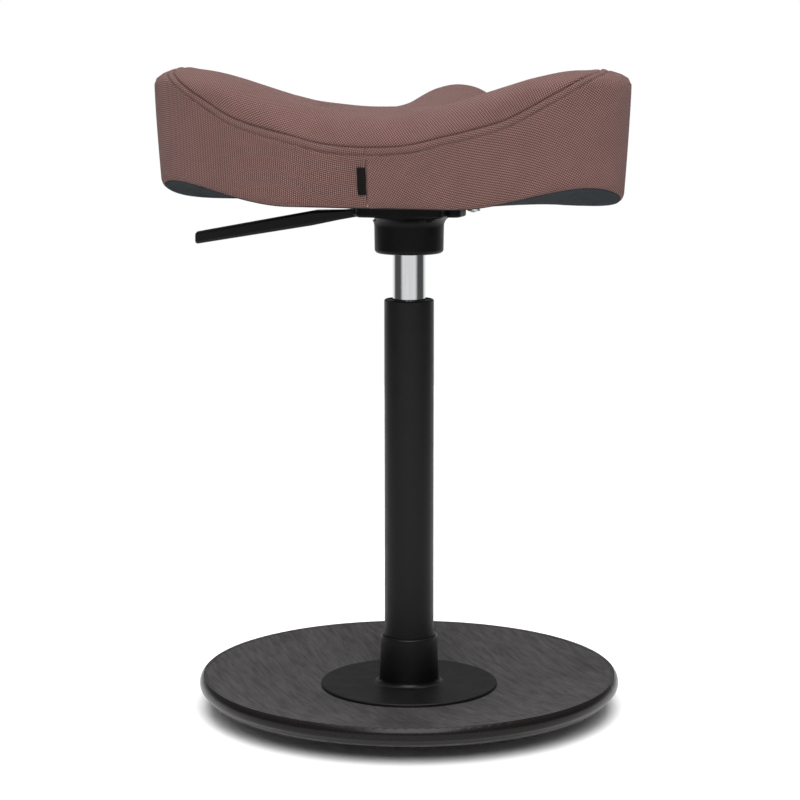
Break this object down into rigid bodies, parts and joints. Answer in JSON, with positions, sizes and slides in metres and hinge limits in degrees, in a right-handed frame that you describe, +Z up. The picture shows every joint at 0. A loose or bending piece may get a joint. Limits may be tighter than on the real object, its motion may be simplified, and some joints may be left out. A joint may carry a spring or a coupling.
{
  "type": "saddle perch stool",
  "caption": "Height-adjustable perch stool with an upholstered saddle seat on a gas column over a dished rocking footplate.",
  "frame": {"origin": "on the floor under the column axis, which is the centre of the footplate", "axes": "+Z up along the column; +Y towards the narrow nose of the saddle; +X to the sitter's right, so the lever points along -X"},
  "size_m": [0.479, 0.4264, 0.6495],
  "materials": {
    "stained_wood": "satin open-pore black stain",
    "rubber": "matte",
    "black_steel": "fine matte powder coat",
    "zinc_steel": "zinc plated",
    "bare_steel": "ground",
    "black_plastic": "fine grained moulding",
    "cast_alloy": "machined",
    "chromed_steel": "polished",
    "black_alloy": "satin black coat",
    "plywood": "bare moulded plywood",
    "foam": "open-cell foam",
    "woven_fabric": "two-tone basket weave",
    "grey_under_cover": "felted lining",
    "black_tag": "woven ribbon"
  },
  "bodies": {
    "base": {"footplate": "stained_wood", "anti_slip_ring": "rubber", "flange_plate": "black_steel", "base_screws": "zinc_steel", "column_socket": "black_steel", "column_tube": "black_steel", "tube_floor": "bare_steel", "guide_bush": "black_plastic", "lower_washer": "bare_steel", "ball_cage": "bare_steel"},
    "rod": {"upper_washer": "bare_steel", "piston_rod": "bare_steel", "piston": "cast_alloy", "piston_seal": "rubber", "rod_clip": "bare_steel", "bumper": "rubber"},
    "seat": {"gas_cylinder": "chromed_steel", "valve_body": "cast_alloy", "rod_guide": "cast_alloy", "mechanism_housing": "black_alloy", "lever_pin": "bare_steel", "pin_clips": "bare_steel", "seat_washers": "zinc_steel", "seat_screws": "zinc_steel", "tee_nuts": "zinc_steel", "seat_shell": "plywood", "foam_pad": "foam", "cover_top": "woven_fabric", "border_left": "woven_fabric", "border_right": "woven_fabric", "underside_cover": "grey_under_cover", "label_tag": "black_tag"},
    "lever": {"lever": "black_plastic"},
    "button": {"release_button": "bare_steel"}
  },
  "joints": [
    {"name": "seat_swivel", "type": "hinge", "parent": "base", "child": "rod", "pos_m": [0, 0, 0.05], "axis": [0, 0, 1], "continuous": true},
    {"name": "seat_height", "type": "slide", "parent": "rod", "child": "seat", "axis": [0, 0, 1], "range_m": [-0.036, 0.2]},
    {"name": "lever_lift", "type": "hinge", "parent": "seat", "child": "lever", "pos_m": [-0.024, 0, 0.50998], "axis": [0, 1, 0], "range_deg": [0, 4.5], "stiffness_Nm_per_rad": 3},
    {"name": "button_press", "type": "slide", "parent": "seat", "child": "button", "axis": [0, 0, -1], "range_m": [0, 0.0024], "stiffness_N_per_m": 400}
  ],
  "couplings": [
    {"joint": "button_press", "follows": "lever_lift", "m_per_rad": 0.027}
  ]
}
